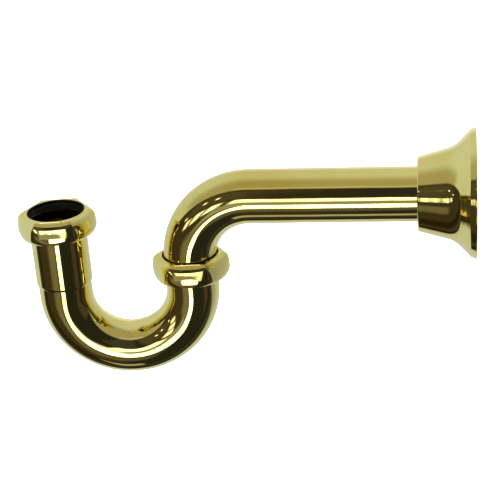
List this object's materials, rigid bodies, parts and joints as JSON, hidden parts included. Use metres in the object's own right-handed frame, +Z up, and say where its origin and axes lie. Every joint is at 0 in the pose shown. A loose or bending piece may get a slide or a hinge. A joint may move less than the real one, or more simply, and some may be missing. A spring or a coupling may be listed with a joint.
{
  "type": "p trap",
  "caption": "Tubular polished brass basin trap: return bend with slip-nut inlet, union to a bent wall tube, and a deep bell flange over a slip joint at the wall.",
  "frame": {"origin": "where the wall tube's axis meets the wall plane, at the centre of the flange's back rim", "axes": "+X along the wall tube into the wall, +Z up along the union's and the inlet's axis"},
  "size_m": [0.2668, 0.075, 0.1482],
  "materials": {
    "polished_brass": "mirror polished",
    "turned_brass": "as turned, fine tool lines",
    "ring_brass": "stamped sheet, dull",
    "black_rubber": "matt black moulded rubber"
  },
  "bodies": {
    "wall_run": {"wall_tube": "polished_brass", "union_collar": "turned_brass", "wall_washer": "black_rubber"},
    "trap": {"trap_bend": "polished_brass", "inlet_collar": "polished_brass", "inlet_washer": "black_rubber", "outlet_ferrule": "turned_brass", "union_washer": "black_rubber"},
    "inlet_ring": {"inlet_friction_ring": "ring_brass"},
    "inlet_nut": {"inlet_slip_nut": "polished_brass"},
    "union_ring": {"union_friction_ring": "ring_brass"},
    "union_nut": {"union_nut": "polished_brass"},
    "flange_ring": {"flange_grip_ring": "black_rubber"},
    "flange": {"box_flange": "polished_brass"},
    "wall_ring": {"wall_friction_ring": "ring_brass"},
    "wall_nut": {"wall_slip_nut": "turned_brass"}
  },
  "joints": [
    {"name": "trap_swivel", "type": "hinge", "parent": "wall_run", "child": "trap", "pos_m": [-0.168, 0, -0.0425], "axis": [0, 0, 1], "range_deg": [-128, 112]},
    {"name": "inlet_nut_travel", "type": "slide", "parent": "trap", "child": "inlet_ring", "axis": [0, 0, 1], "range_m": [0, 0.01]},
    {"name": "inlet_nut_turn", "type": "hinge", "parent": "inlet_ring", "child": "inlet_nut", "pos_m": [-0.24346, -0.0106, -0.01], "axis": [0, 0, 1], "range_deg": [0, 1702.8]},
    {"name": "union_nut_travel", "type": "slide", "parent": "trap", "child": "union_ring", "axis": [0, 0, 1], "range_m": [0, 0.0032]},
    {"name": "union_nut_turn", "type": "hinge", "parent": "union_ring", "child": "union_nut", "pos_m": [-0.168, 0, -0.0425], "axis": [0, 0, 1], "range_deg": [0, 546.2]},
    {"name": "flange_slide", "type": "slide", "parent": "wall_run", "child": "flange_ring", "axis": [-1, 0, 0], "range_m": [0, 0.09]},
    {"name": "flange_spin", "type": "hinge", "parent": "flange_ring", "child": "flange", "pos_m": [-0.02, 0, 0], "axis": [1, 0, 0], "continuous": true},
    {"name": "wall_nut_travel", "type": "slide", "parent": "wall_run", "child": "wall_ring", "axis": [-1, 0, 0], "range_m": [0, 0.006]},
    {"name": "wall_nut_turn", "type": "hinge", "parent": "wall_ring", "child": "wall_nut", "pos_m": [-0.006, 0, 0], "axis": [-1, 0, 0], "range_deg": [0, 1022.5]}
  ],
  "couplings": [
    {"joint": "inlet_nut_turn", "follows": "inlet_nut_travel", "rad_per_m": 2968.4},
    {"joint": "union_nut_turn", "follows": "union_nut_travel", "rad_per_m": 2968.4},
    {"joint": "wall_nut_turn", "follows": "wall_nut_travel", "rad_per_m": 2968.4}
  ]
}
